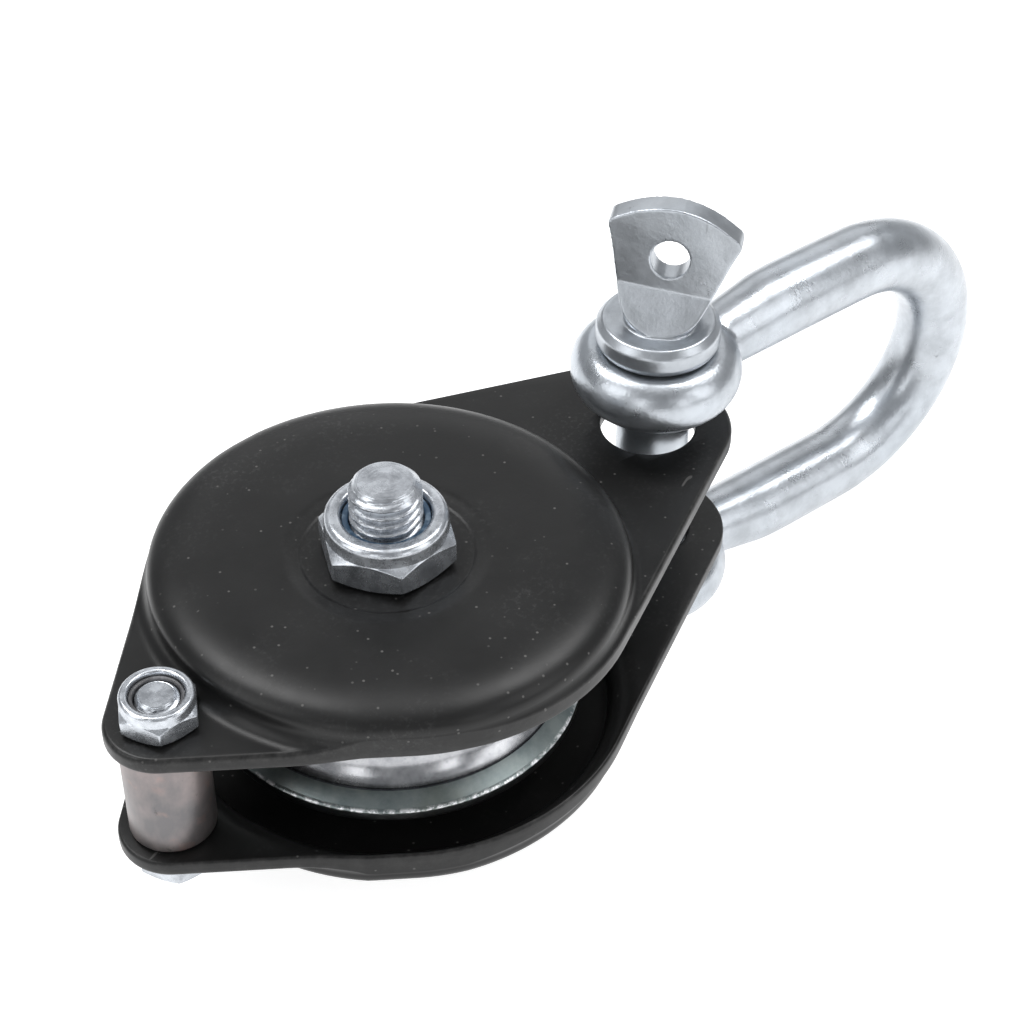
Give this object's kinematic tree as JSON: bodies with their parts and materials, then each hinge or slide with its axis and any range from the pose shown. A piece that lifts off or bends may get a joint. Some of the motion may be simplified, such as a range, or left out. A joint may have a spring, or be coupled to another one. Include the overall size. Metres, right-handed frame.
{
  "type": "single sheave block",
  "caption": "Single sheave rope block with stamped steel cheeks, grooved ball-bearing wheel, becket spacer bolt and a screw-pin D shackle.",
  "frame": {"origin": "centre of the sheave, halfway between the two cheeks, on the axle's axis", "axes": "+Z along the axle towards its lock nut, +X along the block towards the shackle"},
  "size_m": [0.1627, 0.0656, 0.0731],
  "materials": {
    "black_paint": "semi-gloss black paint",
    "zinc": "bright zinc plating",
    "passivated_zinc": "bright zinc plating with a slight green-yellow passivation",
    "raw_steel": "unplated steel tube with a brown and copper bloom",
    "bearing_steel": "polished",
    "nylon_blue": "blue-grey nylon",
    "nylon_grey": "dark grey nylon"
  },
  "bodies": {
    "cheeks": {"upper_cheek": "black_paint", "lower_cheek": "black_paint", "axle_bolt": "zinc", "axle_nut": "zinc", "axle_nut_insert": "nylon_blue", "hub_spacer_upper": "zinc", "hub_spacer_lower": "zinc", "bearing_inner_race": "bearing_steel", "spacer_tube": "raw_steel", "spacer_bolt": "zinc", "spacer_nut": "zinc", "spacer_nut_insert": "nylon_grey"},
    "wheel": {"sheave": "passivated_zinc", "bearing_outer_race": "bearing_steel", "bearing_shield_upper": "bearing_steel", "bearing_shield_lower": "bearing_steel", "bearing_retaining_ring": "bearing_steel"},
    "ball_cage": {"bearing_cage": "raw_steel", "bearing_ball_1": "bearing_steel", "bearing_ball_2": "bearing_steel", "bearing_ball_3": "bearing_steel", "bearing_ball_4": "bearing_steel", "bearing_ball_5": "bearing_steel", "bearing_ball_6": "bearing_steel", "bearing_ball_7": "bearing_steel", "bearing_ball_8": "bearing_steel"},
    "shackle": {"shackle_bow": "zinc"},
    "pin": {"shackle_pin": "zinc"}
  },
  "joints": [
    {"name": "sheave_spin", "type": "hinge", "parent": "cheeks", "child": "wheel", "pos_m": [0, 0, 0], "axis": [0, 0, 1], "continuous": true},
    {"name": "cage_spin", "type": "hinge", "parent": "cheeks", "child": "ball_cage", "pos_m": [0, 0, 0], "axis": [0, 0, 1], "continuous": true},
    {"name": "shackle_swing", "type": "hinge", "parent": "cheeks", "child": "shackle", "pos_m": [0.0514, 0.0003, 0.002], "axis": [0, 0, 1], "range_deg": [-115, 124]},
    {"name": "pin_withdraw", "type": "slide", "parent": "shackle", "child": "pin", "axis": [0, 0, 1], "range_m": [0, 0.04]}
  ],
  "couplings": [
    {"joint": "cage_spin", "follows": "sheave_spin", "ratio": 0.619}
  ]
}
